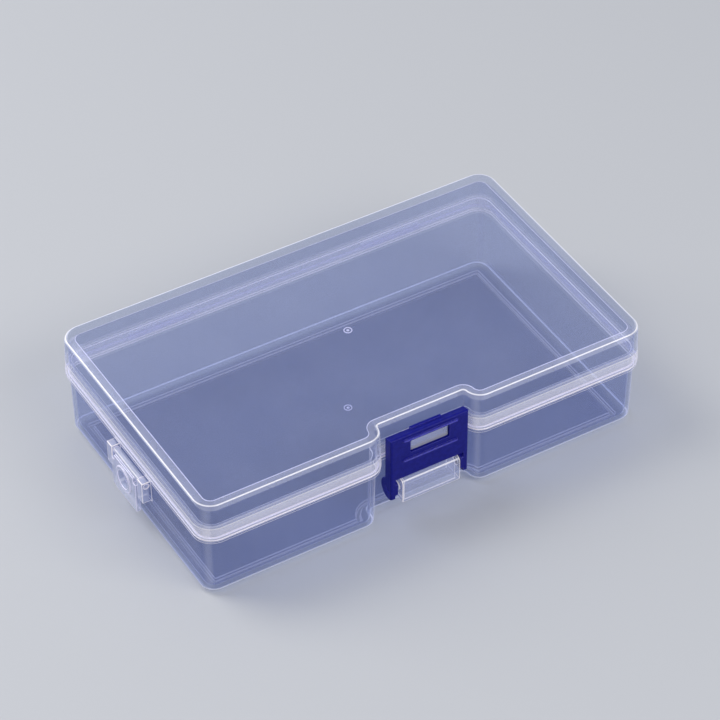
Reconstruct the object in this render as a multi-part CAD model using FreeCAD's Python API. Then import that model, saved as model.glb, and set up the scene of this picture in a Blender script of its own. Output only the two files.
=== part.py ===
import FreeCAD, Part
import math
import os

# A clear hinged organizer box: drafted tray and lid with a latch recess in the front wall,
# living hinge webs at the back, a swinging latch on a pivot block and a hang tab on the left end.
# Frame: millimetres, +X right along the length, +Y back to the hinge, +Z up, z = 0 is the table.

# Plan outline of the lid's top, measured at its sharp edges
box_length = 140.0
box_width = 82.8
corner_radius = 5.5
smallest_radius = 0.3

# Recess for the latch, in the middle of the front wall
recess_depth = 5.0
recess_half_width = 13.7
recess_side_radius = 5.0
recess_inner_radius = 0.6
smallest_inner_radius = 0.05

# Heights
foot_height = 1.05
parting_height = 22.0
total_height = 34.45

# Lid: a drafted shell whose skirt slips over the tray's rim
lid_wall = 1.0
lid_roof = 1.0
lid_draft = 0.0376
lid_edge_radius = 1.3
lid_inside_chamfer = 2.0

# Tray
tray_wall = 1.1
tray_floor = 1.1
tray_inset = 0.65
tray_draft = 0.0224
tray_edge_radius = 1.7
tray_inside_chamfer = 0.8
tray_recess_step = 0.5
foot_inset = 4.85
foot_width = 1.2

# Flange under the skirt, and the rim inside it
seat_gap = 0.1
flange_height = 1.3
flange_overhang = 0.26
rim_height = 4.2
rim_inset = 0.85
rim_chamfer = 0.25

# Hinge webs
web_near = 28.0
web_length = 20.0
web_radius = 1.4
web_thickness = 0.4

# Latch
latch_half_width = 12.35
latch_sunk = 0.05
latch_plate = 1.6
latch_flange_depth = 3.05
latch_flange_wall = 1.45
latch_below_lid = 3.15
latch_top_slope = 1.0
latch_top_wall = 1.2
latch_edge_radius = 0.7
ear_radius = 3.5
ear_boss_radius = 2.5
ear_boss_length = 0.85
ear_skin = 0.5
ear_dimple_radius = 1.2
ear_dimple_depth = 0.15
lip_half_width = 4.9
lip_height = 0.7
lip_depth = 0.9
window_half_width = 6.2
window_height = 4.3
window_below_top = 2.6
window_radius = 0.5
grip_half_length = 8.3
grip_radius = 0.45
grip_height = 0.4
upper_grip_gap = 0.9
lower_grip_gap = 2.0

# Catch on the lid, behind the latch window
catch_side_gap = 0.3
catch_latch_gap = 0.2
catch_ramp = 1.6

# Pivot block on the tray, with a stub pin at each end
pivot_behind_front = 1.65
pivot_height = 12.4
pivot_pin_radius = 1.1
pivot_clearance = 0.06
pin_end_gap = 0.15
block_half_width = 9.2
block_below_pivot = 4.5
block_above_pivot = 3.3
block_plate_gap = 0.5
block_proud = 1.05
block_wall = 1.0
block_edge_radius = 1.5

# Hang tab and its posts on the left end wall
tab_plate = 1.4
tab_half_width = 6.85
tab_length = 11.5
tab_shoulder_drop = 1.6
tab_neck_half_width = 5.4
tab_far_radius = 2.3
tab_axis_out = 0.6
tab_axis_below_flange = 2.7
tab_outer_face = 2.3
barrel_radius = 1.05
trunnion_radius = 0.7
trunnion_clearance = 0.06
trunnion_end_recess = 0.2
hang_hole_radius = 2.8
hang_hole_drop = 4.7
hang_ring_width = 1.2
hang_ring_height = 0.4
post_gap = 0.45
barrel_gap = 0.2
post_width = 2.9
post_out = 1.9
post_below_axis = 5.9
post_above_axis = 1.3

overlap = 0.5

# Sizes and places that follow from the ones above
half_length = box_length / 2
half_width = box_width / 2
rim_top = parting_height + rim_height
flange_top = parting_height - seat_gap
flange_low = flange_top - flange_height
floor_top = foot_height + tray_floor
latch_front = half_width - latch_sunk
latch_inner = latch_front - latch_plate
latch_back = latch_front - latch_flange_depth
latch_top = total_height - latch_below_lid
latch_back_top = latch_top - latch_top_slope
window_high = latch_top - window_below_top
window_low = window_high - window_height
grip_levels = (window_high + upper_grip_gap, window_low - lower_grip_gap)
pivot_y = pivot_behind_front - latch_front
block_low = pivot_height - block_below_pivot
block_high = pivot_height + block_above_pivot
block_front = latch_front + block_proud
latch_plate_lower_edge = block_high + block_plate_gap
tab_axis_x = -half_length - tab_axis_out
tab_outer_x = -half_length - tab_outer_face
tab_axis_height = flange_low - tab_axis_below_flange
tab_low = tab_axis_height - tab_length
tab_shoulder = tab_axis_height - tab_shoulder_drop
hang_hole_height = tab_axis_height - hang_hole_drop
post_low = tab_axis_height - post_below_axis
post_top = tab_axis_height + post_above_axis


def point(x, y, z=0.0):
    return FreeCAD.Vector(x, y, z)


def arc(centre, radius, start, end, z):
    """Circular edge from angle start to angle end, in degrees, the short way round."""
    middle = (start + end) / 2
    places = []
    for angle in (start, middle, end):
        turn = math.radians(angle)
        x = centre[0] + radius * math.cos(turn)
        y = centre[1] + radius * math.sin(turn)
        places.append(point(x, y, z))
    return Part.Arc(*places).toShape()


def outline(inset, z, recess_step=0.0):
    """Plan outline of the box, moved inward by inset, as a closed wire at height z."""
    side = half_length - inset
    back = half_width - inset
    front = -back
    radius = max(corner_radius - inset, smallest_radius)
    inner_radius = max(recess_inner_radius + inset, smallest_inner_radius)
    slack = recess_inner_radius + inset - inner_radius
    outer_radius = max(recess_side_radius - inset, smallest_radius)
    inner_y = -half_width + recess_depth + recess_step - recess_inner_radius + slack
    outer_y = front + outer_radius
    reach = recess_side_radius + recess_inner_radius
    full_drop = reach - recess_depth
    inner_x = recess_half_width + recess_step + recess_side_radius + slack
    inner_x -= math.sqrt(reach ** 2 - full_drop ** 2)
    drop = outer_y - inner_y
    outer_x = inner_x + math.sqrt((inner_radius + outer_radius) ** 2 - drop ** 2)
    lean = math.degrees(math.atan2(drop, outer_x - inner_x))
    wall_y = inner_y + inner_radius
    right_x = side - radius
    back_y = back - radius
    front_y = front + radius

    edges = [Part.makeLine(point(-inner_x, wall_y, z), point(inner_x, wall_y, z))]
    edges.append(arc((inner_x, inner_y), inner_radius, 90, lean, z))
    edges.append(arc((outer_x, outer_y), outer_radius, 180 + lean, 270, z))
    edges.append(Part.makeLine(point(outer_x, front, z), point(right_x, front, z)))
    edges.append(arc((right_x, front_y), radius, 270, 360, z))
    edges.append(Part.makeLine(point(side, front_y, z), point(side, back_y, z)))
    edges.append(arc((right_x, back_y), radius, 0, 90, z))
    edges.append(Part.makeLine(point(right_x, back, z), point(-right_x, back, z)))
    edges.append(arc((-right_x, back_y), radius, 90, 180, z))
    edges.append(Part.makeLine(point(-side, back_y, z), point(-side, front_y, z)))
    edges.append(arc((-right_x, front_y), radius, 180, 270, z))
    edges.append(Part.makeLine(point(-right_x, front, z), point(-outer_x, front, z)))
    edges.append(arc((-outer_x, outer_y), outer_radius, 270, 360 - lean, z))
    edges.append(arc((-inner_x, inner_y), inner_radius, 180 - lean, 90, z))
    return Part.Wire(edges)


def drafted_block(low_inset, low_z, high_inset, high_z, recess_step=0.0):
    """Solid between two outlines, with drafted walls."""
    wires = [outline(low_inset, low_z, recess_step), outline(high_inset, high_z, recess_step)]
    return Part.makeLoft(wires, True, True)


def edges_at(shape, z):
    """Edges that lie in the level plane at height z."""
    found = []
    for edge in shape.Edges:
        box = edge.BoundBox
        if abs(box.ZMin - z) < 0.001 and abs(box.ZMax - z) < 0.001:
            found.append(edge)
    return found


def box(x_range, y_range, z_range):
    """Upright block between the given limits."""
    size = [high - low for low, high in (x_range, y_range, z_range)]
    return Part.makeBox(*size, point(x_range[0], y_range[0], z_range[0]))


def rod(radius, centre, axis, length):
    return Part.makeCylinder(radius, length, centre, axis)


def extruded(places, travel):
    """Solid from a closed polygon of places, pushed along travel."""
    face = Part.Face(Part.makePolygon(places + [places[0]]))
    return face.extrude(travel)


def both_sides(shape):
    """The shape and its mirror image across the plane x = 0."""
    return [shape, shape.mirror(point(0, 0, 0), point(1, 0, 0))]


def tray_inset_at(z):
    return tray_inset + tray_draft * (parting_height - z)


def lid_inset_at(z):
    return -lid_draft * (total_height - z)


def make_shell_of_tray():
    bottom = tray_inset_at(foot_height)
    top = tray_inset_at(flange_top)
    body = drafted_block(bottom, foot_height, top, flange_top, tray_recess_step)
    body = body.makeFillet(tray_edge_radius, edges_at(body, foot_height))
    flange = drafted_block(-flange_overhang, flange_low, -flange_overhang, flange_top)
    rim = drafted_block(rim_inset, flange_low, rim_inset, rim_top)
    rim = rim.makeChamfer(rim_chamfer, edges_at(rim, rim_top))
    foot = drafted_block(foot_inset, 0, foot_inset, foot_height + overlap)
    foot_hollow = foot_inset + foot_width
    foot = foot.cut(drafted_block(foot_hollow, -overlap, foot_hollow, foot_height))
    inside_low = tray_inset_at(floor_top) + tray_wall
    inside_top = rim_top + overlap
    inside_high = tray_inset_at(inside_top) + tray_wall
    inside = drafted_block(inside_low, floor_top, inside_high, inside_top, tray_recess_step)
    inside = inside.makeChamfer(tray_inside_chamfer, edges_at(inside, floor_top))
    return body.fuse([flange, rim, foot]).cut(inside)


def make_pivot_block():
    """Hollow block in the recess, open below, with a stub pin at each end."""
    wall_y = -half_width + recess_depth + tray_recess_step + tray_inset_at(block_low)
    root = wall_y + tray_wall / 2
    width = (-block_half_width, block_half_width)
    block = box(width, (-block_front, root), (block_low, block_high))
    rounded = []
    for edge in edges_at(block, block_high):
        if edge.BoundBox.YMax < -block_front + 0.001:
            rounded.append(edge)
    block = block.makeFillet(block_edge_radius, rounded)
    inner_width = (-block_half_width + block_wall, block_half_width - block_wall)
    back = -half_width + recess_depth + tray_recess_step - block_wall
    inner_depth = (-block_front + block_wall, back)
    block = block.cut(box(inner_width, inner_depth, (block_low - overlap, block_high - block_wall)))
    reach = latch_half_width - ear_skin - pin_end_gap
    pin = rod(pivot_pin_radius, point(-reach, pivot_y, pivot_height), point(1, 0, 0), 2 * reach)
    hollow = block_half_width - block_wall / 2
    pin = pin.cut(box((-hollow, hollow), (-block_front, root), (block_low, block_high)))
    return block.fuse(pin)


def make_posts():
    """The two posts that hold the hang tab's trunnions."""
    low_y = tab_half_width + post_gap
    root = half_length - tray_inset_at(post_top) - tray_wall / 2
    post = box((-half_length - post_out, -root), (low_y, low_y + post_width), (post_low, post_top))
    start = point(tab_axis_x, low_y - overlap, tab_axis_height)
    bore = rod(trunnion_radius + trunnion_clearance, start, point(0, 1, 0), post_width + 2 * overlap)
    post = post.cut(bore)
    return [post, post.mirror(point(0, 0, 0), point(0, 1, 0))]


def make_tray():
    tray = make_shell_of_tray()
    pieces = [make_pivot_block()] + make_posts()
    return tray.fuse(pieces).removeSplitter()


def make_catch():
    """Wedge on the lid's recess wall, behind the latch window."""
    low = window_low + catch_side_gap
    high = window_high - catch_side_gap
    half = window_half_width - catch_side_gap
    root = -half_width + recess_depth + lid_wall / 2
    tip = -latch_back + catch_latch_gap
    places = [(root, low), (tip, low + catch_ramp), (tip, high), (root, high)]
    corners = [point(-half, y, z) for y, z in places]
    return extruded(corners, point(2 * half, 0, 0))


def make_lid():
    outer = drafted_block(lid_inset_at(parting_height), parting_height, 0, total_height)
    outer = outer.makeFillet(lid_edge_radius, edges_at(outer, total_height))
    roof = total_height - lid_roof
    low = parting_height - overlap
    inside = drafted_block(lid_inset_at(low) + lid_wall, low, lid_inset_at(roof) + lid_wall, roof)
    inside = inside.makeChamfer(lid_inside_chamfer, edges_at(inside, roof))
    return outer.cut(inside).fuse(make_catch()).removeSplitter()


def make_hinge_web(tray, lid):
    """Thin half ring that joins the tray's flange to the lid's skirt at the back."""
    back = half_width + flange_overhang
    start = point(web_near, back, parting_height)
    ring = rod(web_radius, start, point(1, 0, 0), web_length)
    ring = ring.cut(rod(web_radius - web_thickness, start, point(1, 0, 0), web_length))
    far_side = box((web_near, web_near + web_length), (back - overlap, back + 2 * web_radius),
                   (parting_height - web_radius, parting_height + web_radius))
    return ring.common(far_side).cut(tray).cut(lid)


def make_latch_shell():
    """Front plate with side flanges and a sloped top flange."""
    front = -latch_front
    back = -latch_back
    profile = [(front, latch_plate_lower_edge), (front, latch_top), (back, latch_back_top)]
    profile += [(back, latch_plate_lower_edge)]
    corners = [point(-latch_half_width, y, z) for y, z in profile]
    shell = extruded(corners, point(2 * latch_half_width, 0, 0))
    rounded = []
    for edge in shell.Edges:
        centre = edge.CenterOfMass
        at_front = abs(centre.y - front) < 0.001
        if at_front and centre.z > latch_plate_lower_edge + 0.001:
            rounded.append(edge)
    shell = shell.makeFillet(latch_edge_radius, rounded)
    inner_half = latch_half_width - latch_flange_wall
    under = latch_back_top - latch_top_wall
    low = latch_plate_lower_edge - overlap
    hollow = box((-inner_half, inner_half), (-latch_inner, back + overlap), (low, under))
    return shell.cut(hollow)


def make_ear():
    """Lobe at the foot of a side flange, flush with the front plate, and its blind pin bore."""
    inner = latch_half_width - latch_flange_wall
    face = inner - ear_boss_length
    along = point(1, 0, 0)
    lobe = rod(ear_radius, point(inner, pivot_y, pivot_height), along, latch_flange_wall)
    boss = rod(ear_boss_radius, point(face, pivot_y, pivot_height), along,
               ear_boss_length + overlap)
    leg = box((inner, latch_half_width), (-latch_front, -latch_back),
              (pivot_height, latch_plate_lower_edge + overlap))
    behind_front = box((face - overlap, latch_half_width), (-latch_front, 0),
                       (pivot_height - 2 * ear_radius, latch_plate_lower_edge + overlap))
    corner = []
    for edge in behind_front.Edges:
        centre = edge.CenterOfMass
        at_side = abs(centre.x - latch_half_width) < 0.001
        if at_side and abs(centre.y + latch_front) < 0.001:
            corner.append(edge)
    behind_front = behind_front.makeFillet(latch_edge_radius, corner)
    ear = lobe.fuse([boss, leg]).common(behind_front)
    bore_start = point(face - overlap, pivot_y, pivot_height)
    bore = rod(pivot_pin_radius + pivot_clearance, bore_start, along,
               latch_half_width - ear_skin - face + overlap)
    dimple = rod(ear_dimple_radius,
                 point(latch_half_width - ear_dimple_depth, pivot_y, pivot_height),
                 along, overlap)
    return ear, bore.fuse(dimple)


def make_grip(level):
    """Raised bar with round ends across the front plate."""
    root = -latch_inner - overlap
    front = -latch_front - grip_height
    bar = box((-grip_half_length, grip_half_length), (front, root),
              (level - grip_radius, level + grip_radius))
    end = rod(grip_radius, point(grip_half_length, front, level), point(0, 1, 0), root - front)
    return bar.fuse(both_sides(end))


def make_window():
    width = (-window_half_width, window_half_width)
    window = box(width, (-latch_front - overlap, -latch_inner + overlap), (window_low, window_high))
    upright = []
    for edge in window.Edges:
        if abs(edge.BoundBox.YLength - latch_plate - 2 * overlap) < 0.001:
            upright.append(edge)
    return window.makeFillet(window_radius, upright)


def make_latch():
    ear, bore = make_ear()
    lip = box((-lip_half_width, lip_half_width), (-latch_back - lip_depth, -latch_back),
              (latch_back_top - latch_top_wall, latch_back_top + lip_height))
    pieces = both_sides(ear) + [lip] + [make_grip(level) for level in grip_levels]
    latch = make_latch_shell().fuse(pieces)
    return latch.cut(both_sides(bore) + [make_window()]).removeSplitter()


def make_hang_tab():
    """Plate with a ringed hole, hung from a barrel with a trunnion at each end."""
    outer = tab_outer_x
    plate = box((outer, outer + tab_plate), (-tab_half_width, tab_half_width),
                (tab_low, tab_shoulder))
    plate = plate.makeFillet(tab_far_radius, edges_at_corner(plate, tab_half_width, tab_low))
    neck = box((outer, outer + tab_plate), (-tab_neck_half_width, tab_neck_half_width),
               (tab_shoulder - overlap, tab_axis_height))
    barrel_half = tab_half_width + post_gap - barrel_gap
    along = point(0, 1, 0)
    barrel = rod(barrel_radius, point(tab_axis_x, -barrel_half, tab_axis_height),
                 along, 2 * barrel_half)
    reach = tab_half_width + post_gap + post_width - trunnion_end_recess
    trunnion = rod(trunnion_radius, point(tab_axis_x, -reach, tab_axis_height),
                   along, 2 * reach)
    hole_start = point(outer - hang_ring_height, 0, hang_hole_height)
    ring = rod(hang_hole_radius + hang_ring_width, hole_start, point(1, 0, 0),
               hang_ring_height + tab_plate / 2)
    hole = rod(hang_hole_radius, hole_start, point(1, 0, 0), hang_ring_height + tab_plate)
    return plate.fuse([neck, barrel, trunnion, ring]).cut(hole).removeSplitter()


def edges_at_corner(shape, y, z):
    """Edges along X at the given y and z."""
    found = []
    for edge in shape.Edges:
        centre = edge.CenterOfMass
        if abs(centre.y - y) < 0.001 and abs(centre.z - z) < 0.001:
            found.append(edge)
    return found


def main():
    os.makedirs("parts", exist_ok=True)
    tray = make_tray()
    lid = make_lid()
    web_right, web_left = both_sides(make_hinge_web(tray, lid))
    nodes = {
        "base_tray": tray,
        "lid": lid,
        "latch": make_latch(),
        "hang_tab": make_hang_tab(),
        "hinge_web_left": web_left,
        "hinge_web_right": web_right,
    }
    for name, shape in nodes.items():
        shape.exportStep("parts/" + name + ".step")
        print(name, len(shape.Solids), "solids,", round(shape.Volume, 1), "mm3, valid", shape.isValid())


main()
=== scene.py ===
import math

import bmesh
import bpy
from mathutils import Matrix, Vector


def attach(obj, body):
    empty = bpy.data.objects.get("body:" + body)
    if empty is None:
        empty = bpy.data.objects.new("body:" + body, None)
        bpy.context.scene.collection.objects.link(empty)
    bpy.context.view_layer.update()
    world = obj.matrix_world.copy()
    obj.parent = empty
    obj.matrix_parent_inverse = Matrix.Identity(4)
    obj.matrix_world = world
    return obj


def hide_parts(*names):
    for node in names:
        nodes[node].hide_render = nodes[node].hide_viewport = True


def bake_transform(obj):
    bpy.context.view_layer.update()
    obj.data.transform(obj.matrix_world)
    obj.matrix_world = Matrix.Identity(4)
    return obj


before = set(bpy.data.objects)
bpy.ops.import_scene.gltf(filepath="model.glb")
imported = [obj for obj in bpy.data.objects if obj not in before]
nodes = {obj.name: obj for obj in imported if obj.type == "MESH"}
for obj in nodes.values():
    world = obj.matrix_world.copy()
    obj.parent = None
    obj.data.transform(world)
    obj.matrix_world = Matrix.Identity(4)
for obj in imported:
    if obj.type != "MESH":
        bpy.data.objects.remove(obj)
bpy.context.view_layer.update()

MM = 0.001

# Camera, in metres and degrees
CAMERA_PLACE = Vector((-0.35208, -0.59688, 0.64396))
CAMERA_AZIMUTH = math.radians(-30.7217)
CAMERA_ELEVATION = math.radians(41.8498)
CAMERA_ROLL = math.radians(-0.2303)
CAMERA_LENS = 167.09
SENSOR = 36.0

# Studio, in metres and watts; a lamp is its name, place, size and power
FLOOR_HALF = 3.0
FLOOR_COLOUR = (0.54, 0.55, 0.575, 1)
FLOOR_ROUGHNESS = 0.5
WORLD_COLOUR = (0.90, 0.93, 1.0, 1)
WORLD_STRENGTH = 0.5
LAMP_AIM = Vector((0, 0, 0.02))
LAMPS = (("key", (-0.5, 0.5, 0.9), (0.6, 0.6), 6.0),
         ("front", (0.30, -0.85, 0.75), (0.8, 0.4), 5.0),
         ("edge", (-0.73, 0.70, 0.42), (0.4, 0.4), 2.0))
TRANSPARENT_BOUNCES = 40

# The clear plastic: what it lets through, the colours of its milk, and of its bright edges, which are
# painted highlights
CLEAR_TINT = (0.812, 0.838, 0.916)
WALL_TINT = (0.78, 0.81, 0.905)
FLOOR_TINT = (0.775, 0.805, 0.893)
BAND_TINT = (0.955, 0.962, 0.982)
DEEP_TINT = (0.66, 0.71, 0.85)
MILK_COLOUR = (0.70, 0.73, 0.88)
PALE_COLOUR = (0.95, 0.92, 0.95)
LID_EDGE_PAINTED_HIGHLIGHT = (0.75, 0.72, 0.88)
TRAY_EDGE_PAINTED_HIGHLIGHT = (0.92, 0.86, 0.87)
CLEAR_ROUGHNESS = 0.16
CLEAR_IOR = 1.65

# What the walls let through at each height, in millimetres, from the foot to the roof
LAYERS = ((0.0, FLOOR_TINT), (2.4, FLOOR_TINT), (2.8, WALL_TINT), (20.5, WALL_TINT),
          (20.6, BAND_TINT), (26.2, BAND_TINT), (26.4, CLEAR_TINT), (34.45, CLEAR_TINT))

# How much cloudier a wall is: in its streaks, on its slopes, along its upright corners, where these
# turn out of sight, and seen edge on, the cloud on slopes and corners being a painted highlight; the
# most of all together; the streaks in a bright edge; and how fast cloud and deep tint come in as a
# wall turns edge on
STREAK_CLOUD = 0.03
SLOPE_PAINTED_HIGHLIGHT = 0.30
CORNER_PAINTED_HIGHLIGHT = 0.10
CORNER_TURN_PAINTED_HIGHLIGHT = 0.35
GRAZING_CLOUD = 0.20
MOST_CLOUD = 0.95
EDGE_STREAK = 0.2
GRAZING_POWER = 3.0
DEEP_POWER = 2.0

# Noise: scales, how far the streaks are drawn out, the part of the grain that shows, detail and bumps
STREAK_SCALE = 60.0
DRAWN_SCALE = 500.0
DRAWN_STRETCH = (1, 1, 0.06)
FROST_SCALE = 2600.0
FROST_ROUGHNESS = 0.6
FROST_RANGE = (0.35, 0.65)
BLUE_SCALE = 900.0
NOISE_DETAIL = 2.0
CLEAR_BUMP = 0.08
BLUE_BUMP = 0.06
BUMP_DISTANCE = 0.0001

# Where a mask goes from 0 to 1: for slopes and corners the product of two parts of the wall's
# direction, which is 0.5 at 45 degrees, and for turns how far the wall faces away from the eye
MIDDLE_SLOPE = (0.455, 0.492)
CHAMFER_SLOPE = (0.46, 0.48)
ANY_SLOPE = (0.08, 0.22)
MIDDLE_CORNER = (0.40, 0.50)
ANY_CORNER = (0.08, 0.25)
SLOPE_TURN = (0.20, 0.45)
CORNER_TURN = (0.45, 0.80)
FACING_BLEND = 0.35

# How far the border of a place fades out, in millimetres
SPOT_SOFT = 0.1
GLOW_SOFT = 0.04

# Places of a Mix node's sockets: share, low colour, high colour, result
MIX_SHARE, MIX_LOW, MIX_HIGH, MIX_RESULT = 0, 6, 7, 2

# The latch's blue, plain and as a lighter copy along its edges and ribs that paints highlights there:
# dark, light, roughness, shine; and where the grain is darkest and lightest
BLUE = ((0.006, 0.007, 0.175), (0.009, 0.011, 0.225), 0.3, 0.12)
PAINTED_HIGHLIGHT_BLUE = ((0.030, 0.028, 0.34), (0.042, 0.040, 0.42), 0.2, 0.4)
BLUE_LOW, BLUE_HIGH = 0.3, 0.7

# Band where the lid's skirt slips over the tray's rim: its low and high corner, in millimetres
JOINT_LOW, JOINT_HIGH = (None, None, 21.9), (None, None, 26.2)

# Spots: low corner, high corner, and how cloudy the grain is there at the least and at the most
JOINT_BAND = (JOINT_LOW, JOINT_HIGH, 0.12, 0.16)
# RIM_LINE paints a highlight line on the lid's skirt at the height of the tray rim's top edge.
RIM_LINE = ((None, None, 25.9), (None, None, 26.25), 0.28, 0.32)
PIVOT_BLOCK = ((-9.4, -42.6, 7.7), (9.4, -34.9, 15.8), 0.15, 0.19)
CATCH = ((-6.1, -38.6, 24.5), (6.1, -36.5, 28.6), 0.05, 0.09)
POSTS = ((None, -10.4, 11.8), (-69.9, 10.4, 19.3), 0.26, 0.29)

# Dims: low corner, high corner, and how much clearer a bright edge, a painted highlight, is there
FOOT_DIM = ((None, None, None), (None, None, 1.3), 0.25)
CHAMFER_FOOT_DIM = ((None, None, 30.0), (None, None, 32.5), 0.70)

# Hinge webs, in millimetres; WEB_HALF is half their thickness, WEB_ROOT what is added at their roots
WEB_NEAR, WEB_FAR = 28.0, 48.0
WEB_Y, WEB_Z = 41.66, 22.0
WEB_RADIUS = 1.2
WEB_HALF, WEB_ROOT = 0.13, 0.09
WEB_PINCH = 0.6
WEB_ROUND = 14
WEB_ALONG = 24

# Pad of the lid's catch, inside the latch window, in millimetres
PAD_HALF = 5.95
PAD_LOW, PAD_HIGH = 24.65, 28.45
PAD_FRONT, PAD_BACK = -40.9, -37.4
PAD_RAMP_START, PAD_RAMP_TOP = -40.1, 26.5
PAD_EDGE = 0.3
PAD_SEGMENTS = 3

# Gate marks, in millimetres; a nub rises by GATE_RISE of its radius
GATE_LID = (-0.4, 1.4, 33.45)
GATE_TRAY = (0.7, 3.5, 2.15)
GATE_RING, GATE_TUBE, GATE_NUB = 1.1, 0.17, 0.45
GATE_RISE, GATE_SINK = 0.7, 0.05
GATE_ROUND, GATE_AROUND = 8, 32

# Ribs on the latch, in millimetres
RIB_LEVELS = {"latch_rib_upper": 29.6, "latch_rib_lower": 22.4}
RIB_HALF = 8.3
RIB_RADIUS = 0.26
RIB_FRONT = -41.72
RIB_ROUND, RIB_AROUND = 6, 20

# Fillets on the carried-over pieces: widths in millimetres, least angles in degrees, segments
FILLETS = {"base_tray": ((0.24, 50, 2),),
           "lid": ((0.26, 50, 3), (0.13, 41, 2)),
           "hang_tab": ((0.17, 50, 2),),
           "latch": ((0.07, 50, 2),)}
WELD_GAP = 0.001
FLAT_ANGLE = 0.5


def new_material(name):
    material = bpy.data.materials.new(name)
    material.use_nodes = True
    tree = material.node_tree
    tree.nodes.clear()
    return material, tree


def node(tree, kind, **settings):
    made = tree.nodes.new(kind)
    for name, setting in settings.items():
        setattr(made, name, setting)
    return made


def link(tree, source, target):
    tree.links.new(source, target)


def feed(tree, source, target):
    """Links target to a socket, or sets it to a plain number."""
    if isinstance(source, (int, float)):
        target.default_value = source
    else:
        link(tree, source, target)


def value(tree, operation, *sources, clamp=False):
    """One number worked out from sockets or plain numbers."""
    made = node(tree, "ShaderNodeMath", operation=operation, use_clamp=clamp)
    for place, source in enumerate(sources):
        feed(tree, source, made.inputs[place])
    return made.outputs[0]


def more(tree, amount, mask, share):
    """amount, with share of the mask added."""
    return value(tree, "MULTIPLY_ADD", mask, share, amount)


def spread(tree, source, low, high, bottom=0.0, top=1.0):
    """source between low and high, told as a number between bottom and top."""
    made = node(tree, "ShaderNodeMapRange")
    for name, number in (("From Min", low), ("From Max", high), ("To Min", bottom), ("To Max", top)):
        made.inputs[name].default_value = number
    link(tree, source, made.inputs["Value"])
    return made.outputs["Result"]


def noise(tree, scale, roughness=0.5, stretch=(1, 1, 1)):
    """Cloudy noise in the part's frame; a stretch below 1 draws it out along that axis."""
    place = node(tree, "ShaderNodeTexCoord")
    drawn = node(tree, "ShaderNodeVectorMath", operation="MULTIPLY")
    drawn.inputs[1].default_value = stretch
    made = node(tree, "ShaderNodeTexNoise")
    made.inputs["Scale"].default_value = scale
    made.inputs["Detail"].default_value = NOISE_DETAIL
    made.inputs["Roughness"].default_value = roughness
    link(tree, place.outputs["Object"], drawn.inputs[0])
    link(tree, drawn.outputs["Vector"], made.inputs["Vector"])
    return made.outputs["Fac"]


def ramp(tree, source, stops):
    made = node(tree, "ShaderNodeValToRGB")
    band = made.color_ramp
    for element, (place, colour) in zip(band.elements, (stops[0], stops[-1])):
        element.position = place
        element.color = (*colour, 1)
    for place, colour in stops[1:-1]:
        band.elements.new(place).color = (*colour, 1)
    link(tree, source, made.inputs["Fac"])
    return made.outputs["Color"]


def bumps(tree, height, strength, body):
    made = node(tree, "ShaderNodeBump")
    made.inputs["Strength"].default_value = strength
    made.inputs["Distance"].default_value = BUMP_DISTANCE
    link(tree, height, made.inputs["Height"])
    link(tree, made.outputs["Normal"], body.inputs["Normal"])


def split(tree, vector):
    made = node(tree, "ShaderNodeSeparateXYZ")
    link(tree, vector, made.inputs[0])
    return made.outputs


def place_parts(tree):
    """X, Y and Z of the point in the part's frame."""
    return split(tree, node(tree, "ShaderNodeTexCoord").outputs["Object"])


def normal_parts(tree, flat=False):
    """Sizes of the three parts of the wall's direction, smooth or facet by facet."""
    if flat:
        surface = node(tree, "ShaderNodeNewGeometry")
        turned = node(tree, "ShaderNodeVectorTransform", vector_type="NORMAL", convert_from="WORLD",
                      convert_to="OBJECT")
        link(tree, surface.outputs["True Normal"], turned.inputs["Vector"])
        way = turned.outputs["Vector"]
    else:
        way = node(tree, "ShaderNodeTexCoord").outputs["Normal"]
    size = node(tree, "ShaderNodeVectorMath", operation="ABSOLUTE")
    link(tree, way, size.inputs[0])
    return split(tree, size.outputs["Vector"])


def slope(tree, reach=MIDDLE_SLOPE, flat=False):
    """1 on parts that slope at 45 degrees, 0 on walls and roof."""
    upward = normal_parts(tree, flat)["Z"]
    level = value(tree, "MULTIPLY", upward, upward)
    level = value(tree, "SUBTRACT", 1.0, level, clamp=True)
    level = value(tree, "SQRT", level)
    return spread(tree, value(tree, "MULTIPLY", level, upward), *reach)


def chamfer(tree):
    """1 on the facets of a chamfer, and nothing beside it."""
    return slope(tree, CHAMFER_SLOPE, True)


def upright_corner(tree, reach=MIDDLE_CORNER):
    """1 along the middle of the round upright corners."""
    parts = normal_parts(tree)
    return spread(tree, value(tree, "MULTIPLY", parts["X"], parts["Y"]), *reach)


def facing(tree):
    """0 where the wall faces the eye, 1 where it is seen edge on."""
    graze = node(tree, "ShaderNodeLayerWeight")
    graze.inputs["Blend"].default_value = FACING_BLEND
    return graze.outputs["Facing"]


def outer_line(tree):
    """1 where a fillet turns out of sight, where a highlight line is painted for the light that
    gathers there.
    """
    return value(tree, "MULTIPLY", slope(tree, ANY_SLOPE), spread(tree, facing(tree), *SLOPE_TURN))


def outer_corner(tree):
    """1 where a round upright corner turns out of sight, where a highlight streak is painted."""
    turn = spread(tree, facing(tree), *CORNER_TURN)
    return value(tree, "MULTIPLY", upright_corner(tree, ANY_CORNER), turn)


def inside(tree, low, high, soft=SPOT_SOFT):
    """1 inside the box from low to high, open on a side that is None, fading out over soft."""
    parts = place_parts(tree)
    total = None
    for axis, edges in enumerate(zip(low, high)):
        for edge, way in zip(edges, (1, -1)):
            if edge is None:
                continue
            share = spread(tree, parts[axis], MM * (edge - way * soft), MM * (edge + way * soft))
            total = share if total is None else value(tree, "MULTIPLY", total, share)
    return total


def pale_share(tree):
    """1 on sloped parts, where the whiter milk is a painted highlight, and in the joint band, where
    the milk is whiter.
    """
    return value(tree, "MAXIMUM", slope(tree), inside(tree, JOINT_LOW, JOINT_HIGH))


def plain(colour):
    def fill(tree, target):
        target.default_value = (*colour, 1)
    return fill


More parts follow.
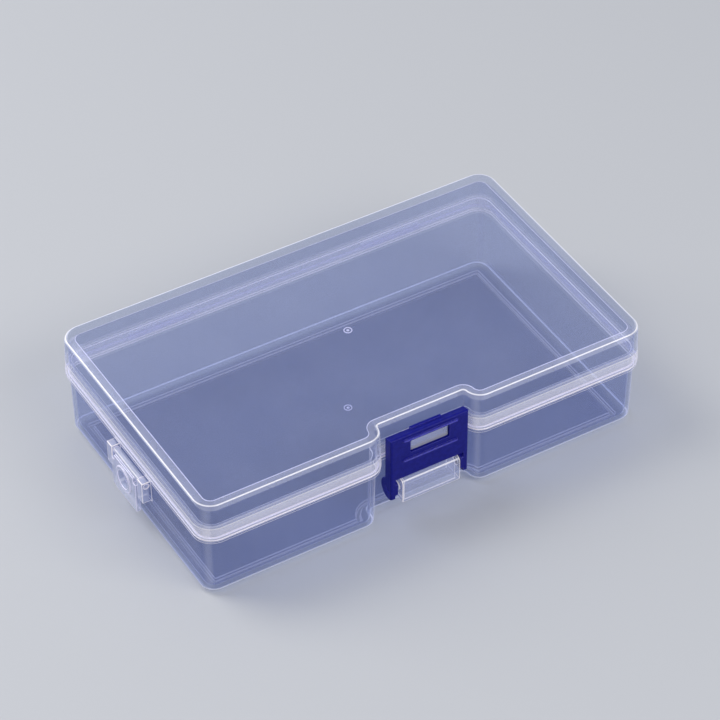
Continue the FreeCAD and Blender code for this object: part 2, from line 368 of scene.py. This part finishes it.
def milk_tone(tree, target):
    """Bluish milk, whiter by the pale share, which paints highlights on the slopes."""
    blend = node(tree, "ShaderNodeMix", data_type="RGBA")
    blend.inputs[MIX_LOW].default_value = (*MILK_COLOUR, 1)
    blend.inputs[MIX_HIGH].default_value = (*PALE_COLOUR, 1)
    link(tree, pale_share(tree), blend.inputs[MIX_SHARE])
    link(tree, blend.outputs[MIX_RESULT], target)


def layered(tree, target):
    """Tint by height: bluer in the tray's floor, near white in the joint band, deeper seen edge on."""
    top = LAYERS[-1][0]
    height = spread(tree, place_parts(tree)["Z"], 0.0, MM * top)
    blend = node(tree, "ShaderNodeMix", data_type="RGBA")
    tone = ramp(tree, height, [(level / top, tint) for level, tint in LAYERS])
    link(tree, tone, blend.inputs[MIX_LOW])
    blend.inputs[MIX_HIGH].default_value = (*DEEP_TINT, 1)
    link(tree, value(tree, "POWER", facing(tree), DEEP_POWER), blend.inputs[MIX_SHARE])
    link(tree, blend.outputs[MIX_RESULT], target)


def see_through(name, cloud, tint, colour, painted_glow_colour, painted_glow):
    """Plastic that lets tint through and shows colour where cloudy, with a painted glow there; each is
    worked out on the tree.
    """
    material, tree = new_material(name)
    out = node(tree, "ShaderNodeOutputMaterial")
    clear = node(tree, "ShaderNodeBsdfTransparent")
    tint(tree, clear.inputs["Color"])
    body = node(tree, "ShaderNodeBsdfPrincipled")
    colour(tree, body.inputs["Base Color"])
    body.inputs["Roughness"].default_value = CLEAR_ROUGHNESS
    body.inputs["IOR"].default_value = CLEAR_IOR
    # Painted glow: the plastic gives off light where it is cloudy, though it is no lamp.
    body.inputs["Emission Color"].default_value = (*painted_glow_colour, 1)
    body.inputs["Emission Strength"].default_value = painted_glow
    streak = noise(tree, STREAK_SCALE)
    bumps(tree, streak, CLEAR_BUMP, body)
    mix = node(tree, "ShaderNodeMixShader")
    link(tree, cloud(tree, streak), mix.inputs["Fac"])
    link(tree, clear.outputs["BSDF"], mix.inputs[1])
    link(tree, body.outputs["BSDF"], mix.inputs[2])
    link(tree, mix.outputs["Shader"], out.inputs["Surface"])
    return material


def wall_plastic(name, tint, milk=0.06, spots=(), painted_highlights=(), painted_glow=0.12):
    """Milky wall: clearest where flat and facing the eye, cloudier on its round parts and in spots;
    the cloud on its round parts is a painted highlight.
    """
    def cloud(tree, streak):
        amount = more(tree, milk - STREAK_CLOUD, streak, STREAK_CLOUD)
        amount = more(tree, amount, noise(tree, DRAWN_SCALE, stretch=DRAWN_STRETCH), STREAK_CLOUD)
        # Painted highlight on slopes: more cloud there, in whiter milk with the painted glow.
        amount = more(tree, amount, slope(tree), SLOPE_PAINTED_HIGHLIGHT)
        # Painted highlight lines along the foot, the roof's edge and its inner chamfer, with some
        # taken back.
        for low, high, extra, parts in painted_highlights:
            place = value(tree, "MULTIPLY", inside(tree, low, high, GLOW_SOFT), parts(tree))
            amount = more(tree, amount, place, extra)
        # Painted highlight streaks along the upright corners and where they turn out of sight.
        amount = more(tree, amount, upright_corner(tree), CORNER_PAINTED_HIGHLIGHT)
        amount = more(tree, amount, outer_corner(tree), CORNER_TURN_PAINTED_HIGHLIGHT)
        amount = more(tree, amount, value(tree, "POWER", facing(tree), GRAZING_POWER), GRAZING_CLOUD)
        grain = noise(tree, FROST_SCALE, FROST_ROUGHNESS)
        for low, high, least, most in spots:
            frost = spread(tree, grain, *FROST_RANGE, least, most)
            amount = more(tree, amount, inside(tree, low, high), frost)
        return value(tree, "MINIMUM", amount, MOST_CLOUD, clamp=True)
    return see_through(name, cloud, tint, milk_tone, PALE_COLOUR, painted_glow)


def edge_plastic(name, colour, amount=0.9, dims=(), painted_glow=0.20):
    """Bright rounded edge, a painted highlight with a painted glow, for light that runs inside the
    wall and comes out.
    """
    def cloud(tree, streak):
        total = more(tree, amount - EDGE_STREAK / 2, streak, EDGE_STREAK)
        for low, high, less in dims:
            total = more(tree, total, inside(tree, low, high), -less)
        return value(tree, "MAXIMUM", total, 0.0, clamp=True)
    return see_through(name, cloud, plain(CLEAR_TINT), plain(colour), colour, painted_glow)


def blue_plastic(name, dark, light, roughness, shine):
    """Solid royal blue moulded plastic with a fine grain."""
    material, tree = new_material(name)
    out = node(tree, "ShaderNodeOutputMaterial")
    body = node(tree, "ShaderNodeBsdfPrincipled")
    grain = noise(tree, BLUE_SCALE)
    link(tree, ramp(tree, grain, [(BLUE_LOW, dark), (BLUE_HIGH, light)]), body.inputs["Base Color"])
    body.inputs["Roughness"].default_value = roughness
    body.inputs["Specular IOR Level"].default_value = shine
    bumps(tree, grain, BLUE_BUMP, body)
    link(tree, body.outputs["BSDF"], out.inputs["Surface"])
    return material


def mesh_piece(name, verts, faces, material):
    mesh = bpy.data.meshes.new(name)
    mesh.from_pydata([[MM * number for number in vert] for vert in verts], [], faces)
    made = bmesh.new()
    made.from_mesh(mesh)
    bmesh.ops.recalc_face_normals(made, faces=made.faces)
    made.to_mesh(mesh)
    made.free()
    for face in mesh.polygons:
        face.use_smooth = True
    mesh.materials.append(material)
    piece = bpy.data.objects.new(name, mesh)
    bpy.context.scene.collection.objects.link(piece)
    return piece


def turns(around):
    """Angles of the points of a ring."""
    return [2 * math.pi * step / around for step in range(around)]


def ring_faces(low, high, around):
    """Faces between two rings of points, which begin at low and at high."""
    faces = []
    for step in range(around):
        after = (step + 1) % around
        faces.append((low + step, low + after, high + after, high + step))
    return faces


def hinge_web(name, node_name, side, material):
    """Thin bent strip from the tray's flange to the lid's skirt, thicker at its roots."""
    verts, faces = [], []
    rows = 2 * (WEB_ROUND + 1)
    for along in range(WEB_ALONG + 1):
        x = side * (WEB_NEAR + (WEB_FAR - WEB_NEAR) * along / WEB_ALONG)
        pinch = WEB_PINCH if along in (0, WEB_ALONG) else 1.0
        for step in range(WEB_ROUND + 1):
            share = step / WEB_ROUND
            turn = math.radians(-90 + 180 * share)
            half = pinch * (WEB_HALF + WEB_ROOT * (2 * share - 1) ** 2)
            for radius in (WEB_RADIUS - half, WEB_RADIUS + half):
                verts.append((x, WEB_Y + radius * math.cos(turn), WEB_Z + radius * math.sin(turn)))
    for along in range(WEB_ALONG):
        low, high = along * rows, (along + 1) * rows
        for step in range(WEB_ROUND):
            a, b = 2 * step, 2 * step + 2
            faces.append((low + a, low + b, high + b, high + a))
            faces.append((low + a + 1, high + a + 1, high + b + 1, low + b + 1))
        for a in (0, 2 * WEB_ROUND):
            faces.append((low + a, high + a, high + a + 1, low + a + 1))
    for low in (0, WEB_ALONG * rows):
        for a in range(low, low + 2 * WEB_ROUND, 2):
            faces.append((a, a + 1, a + 3, a + 2))
    web = mesh_piece(name, verts, faces, material)
    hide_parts(node_name)
    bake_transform(web)


def gate_mark(name, centre, way, body, material):
    """Round nub in a raised ring, where the plastic entered the mould."""
    circles = [(GATE_RING + GATE_TUBE * math.cos(turn), GATE_TUBE * math.sin(turn))
               for turn in turns(GATE_ROUND)]
    for row in range(GATE_ROUND):
        tilt = math.pi / 2 * row / GATE_ROUND
        height = way * (GATE_RISE * GATE_NUB * math.sin(tilt) - GATE_SINK)
        circles.append((GATE_NUB * math.cos(tilt), height))
    x, y, z = centre
    verts = [(x + radius * math.cos(turn), y + radius * math.sin(turn), z + height)
             for radius, height in circles for turn in turns(GATE_AROUND)]
    faces = []
    for row in range(GATE_ROUND):
        faces += ring_faces(row * GATE_AROUND, (row + 1) % GATE_ROUND * GATE_AROUND, GATE_AROUND)
    for row in range(GATE_ROUND, 2 * GATE_ROUND - 1):
        faces += ring_faces(row * GATE_AROUND, (row + 1) * GATE_AROUND, GATE_AROUND)
    first = GATE_ROUND * GATE_AROUND
    faces.append(tuple(range(first, first + GATE_AROUND)))
    faces.append(tuple(range(len(verts) - GATE_AROUND, len(verts))))
    mark = mesh_piece(name, verts, faces, material)
    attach(mark, body)


def latch_rib(name, level, material):
    """Round rib with ball ends across the latch's front."""
    rings = []
    for step in range(RIB_ROUND + 1):
        turn = math.pi / 2 * step / RIB_ROUND
        rings.append((-RIB_HALF - RIB_RADIUS * math.cos(turn), RIB_RADIUS * math.sin(turn)))
    rings += [(-x, radius) for x, radius in reversed(rings)]
    verts = [(x, RIB_FRONT + radius * math.cos(turn), level + radius * math.sin(turn))
             for x, radius in rings for turn in turns(RIB_AROUND)]
    faces = []
    for ring in range(len(rings) - 1):
        faces += ring_faces(ring * RIB_AROUND, (ring + 1) * RIB_AROUND, RIB_AROUND)
    rib = mesh_piece(name, verts, faces, material)
    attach(rib, "latch")


def catch_pad(material):
    """Front of the lid's catch, which fills the latch window: a block with a ramp and round edges."""
    profile = [(PAD_BACK, PAD_RAMP_TOP), (PAD_BACK, PAD_HIGH), (PAD_FRONT, PAD_HIGH),
               (PAD_FRONT, PAD_LOW), (PAD_RAMP_START, PAD_LOW)]
    sides = len(profile)
    verts = [(x, y, z) for x in (-PAD_HALF, PAD_HALF) for y, z in profile]
    faces = [tuple(range(sides)), tuple(range(sides, 2 * sides))] + ring_faces(0, sides, sides)
    pad = mesh_piece("catch_pad", verts, faces, material)
    rounded = pad.modifiers.new("round", "BEVEL")
    rounded.width = MM * PAD_EDGE
    rounded.segments = PAD_SEGMENTS
    even_shading(pad)
    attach(pad, "lid")


def even_shading(piece):
    even = piece.modifiers.new("even", "WEIGHTED_NORMAL")
    even.keep_sharp = False


def dress(name, *materials):
    piece = nodes[name]
    piece.data.materials.clear()
    for material in materials:
        piece.data.materials.append(material)


def round_edges(name, bevels):
    """Small fillets on the node's sharp edges, as modifiers, bright with the painted highlight of the
    edge materials.

    The first bevel takes the node's second material, the next one its third."""
    piece = nodes[name]
    weld = piece.modifiers.new("weld", "WELD")
    weld.merge_threshold = MM * WELD_GAP
    flat = piece.modifiers.new("flat", "DECIMATE")
    flat.decimate_type = "DISSOLVE"
    flat.angle_limit = math.radians(FLAT_ANGLE)
    for place, (width, angle, segments) in enumerate(bevels):
        rounded = piece.modifiers.new("round", "BEVEL")
        rounded.width = MM * width
        rounded.segments = segments
        rounded.limit_method = "ANGLE"
        rounded.angle_limit = math.radians(angle)
        rounded.use_clamp_overlap = False
        rounded.material = place + 1
    even_shading(piece)
    for face in piece.data.polygons:
        face.use_smooth = True


def add_camera():
    sin_a, cos_a = math.sin(CAMERA_AZIMUTH), math.cos(CAMERA_AZIMUTH)
    sin_e, cos_e = math.sin(CAMERA_ELEVATION), math.cos(CAMERA_ELEVATION)
    back = Vector((sin_a * cos_e, -cos_a * cos_e, sin_e))
    level = Vector((cos_a, sin_a, 0))
    up = back.cross(level)
    turn = Matrix.Rotation(CAMERA_ROLL, 3, back)
    axes = Matrix((turn @ level, turn @ up, back)).transposed()
    lens = bpy.data.cameras.new("camera")
    lens.sensor_width = SENSOR
    lens.lens = CAMERA_LENS
    camera = bpy.data.objects.new("camera", lens)
    camera.matrix_world = Matrix.Translation(CAMERA_PLACE) @ axes.to_4x4()
    bpy.context.scene.collection.objects.link(camera)
    bpy.context.scene.camera = camera


def add_floor():
    mesh = bpy.data.meshes.new("floor")
    corners = [(x * FLOOR_HALF, y * FLOOR_HALF, 0) for x, y in ((-1, -1), (1, -1), (1, 1), (-1, 1))]
    mesh.from_pydata(corners, [], [(0, 1, 2, 3)])
    floor = bpy.data.objects.new("floor", mesh)
    bpy.context.scene.collection.objects.link(floor)
    material, tree = new_material("floor")
    out = node(tree, "ShaderNodeOutputMaterial")
    body = node(tree, "ShaderNodeBsdfPrincipled")
    body.inputs["Base Color"].default_value = FLOOR_COLOUR
    body.inputs["Roughness"].default_value = FLOOR_ROUGHNESS
    link(tree, body.outputs["BSDF"], out.inputs["Surface"])
    mesh.materials.append(material)


def add_lamp(name, place, size, power):
    light = bpy.data.lights.new(name, "AREA")
    light.shape = "RECTANGLE"
    light.size, light.size_y = size
    light.energy = power
    lamp = bpy.data.objects.new(name, light)
    lamp.location = place
    lamp.rotation_euler = (LAMP_AIM - Vector(place)).to_track_quat("-Z", "Y").to_euler()
    bpy.context.scene.collection.objects.link(lamp)


def add_world():
    world = bpy.data.worlds.new("studio")
    world.use_nodes = True
    back = world.node_tree.nodes["Background"]
    back.inputs["Color"].default_value = WORLD_COLOUR
    back.inputs["Strength"].default_value = WORLD_STRENGTH
    bpy.context.scene.world = world


add_camera()
add_floor()
add_world()
for lamp in LAMPS:
    add_lamp(*lamp)
bpy.context.scene.view_settings.view_transform = "Standard"
bpy.context.scene.cycles.transparent_max_bounces = TRANSPARENT_BOUNCES

# Materials of the bevelled edges: painted highlight lines, cloudy, pale and with a painted glow.
bright = edge_plastic("bright_edge", LID_EDGE_PAINTED_HIGHLIGHT)
tray_bright = edge_plastic("tray_edge", TRAY_EDGE_PAINTED_HIGHLIGHT, dims=(FOOT_DIM,))
thin_line = edge_plastic("chamfer_edge", LID_EDGE_PAINTED_HIGHLIGHT, amount=0.78, dims=(CHAMFER_FOOT_DIM,), painted_glow=0.34)

# Painted highlight lines, and places where they are taken back: low corner, high corner, how much
# cloudier the wall is there, and the parts that it is on
bottom_line = ((None, None, None), (None, None, 2.4), 0.5, slope)
bottom_outer = ((None, None, None), (None, None, 2.9), 0.60, outer_line)
floor_corner = ((-67.95, -39.35, 2.0), (67.95, 39.35, 3.3), -0.30, slope)
roof_band = ((None, None, 31.4), (None, None, 33.47), 0.14, chamfer)
roof_middle = ((None, None, 31.4), (None, None, 33.47), -0.25, slope)
roof_edge = ((None, None, 33.6), (None, None, None), 0.35, slope)
roof_outer = ((None, None, 33.6), (None, None, None), 0.85, outer_line)

tray_wall = wall_plastic("milky_tray", layered, spots=(JOINT_BAND, PIVOT_BLOCK, POSTS),
                         painted_highlights=(bottom_line, floor_corner, bottom_outer))
lid_wall = wall_plastic("milky_lid", layered, spots=(JOINT_BAND, RIM_LINE, CATCH),
                        painted_highlights=(roof_band, roof_middle, roof_edge, roof_outer))
tab_wall = wall_plastic("milky_tab", plain(BAND_TINT), milk=0.38, painted_glow=0.0)
blue = blue_plastic("royal_blue", *BLUE)
# A lighter copy of the blue paints highlights on the latch's edges and ribs.
painted_highlight_blue = blue_plastic("royal_blue_painted_highlight", *PAINTED_HIGHLIGHT_BLUE)
dress("base_tray", tray_wall, tray_bright)
dress("lid", lid_wall, bright, thin_line)
dress("hang_tab", tab_wall, bright)
dress("latch", blue, painted_highlight_blue)
for name, bevels in FILLETS.items():
    round_edges(name, bevels)
# The ribs take the lighter blue, a painted highlight along them.
for name, level in RIB_LEVELS.items():
    latch_rib(name, level, painted_highlight_blue)
thin = wall_plastic("milky_web", plain(BAND_TINT), milk=0.50)
hinge_web("hinge_strip_left", "hinge_web_left", -1, thin)
hinge_web("hinge_strip_right", "hinge_web_right", 1, thin)
catch_pad(wall_plastic("milky_catch", plain(DEEP_TINT), milk=0.25, painted_glow=0.0))
# The gate marks take a bright edge material, with its painted highlight and painted glow.
mark = edge_plastic("gate_mark", LID_EDGE_PAINTED_HIGHLIGHT)
gate_mark("gate_mark_lid", GATE_LID, -1, "lid", mark)
gate_mark("gate_mark_tray", GATE_TRAY, 1, "base", mark)
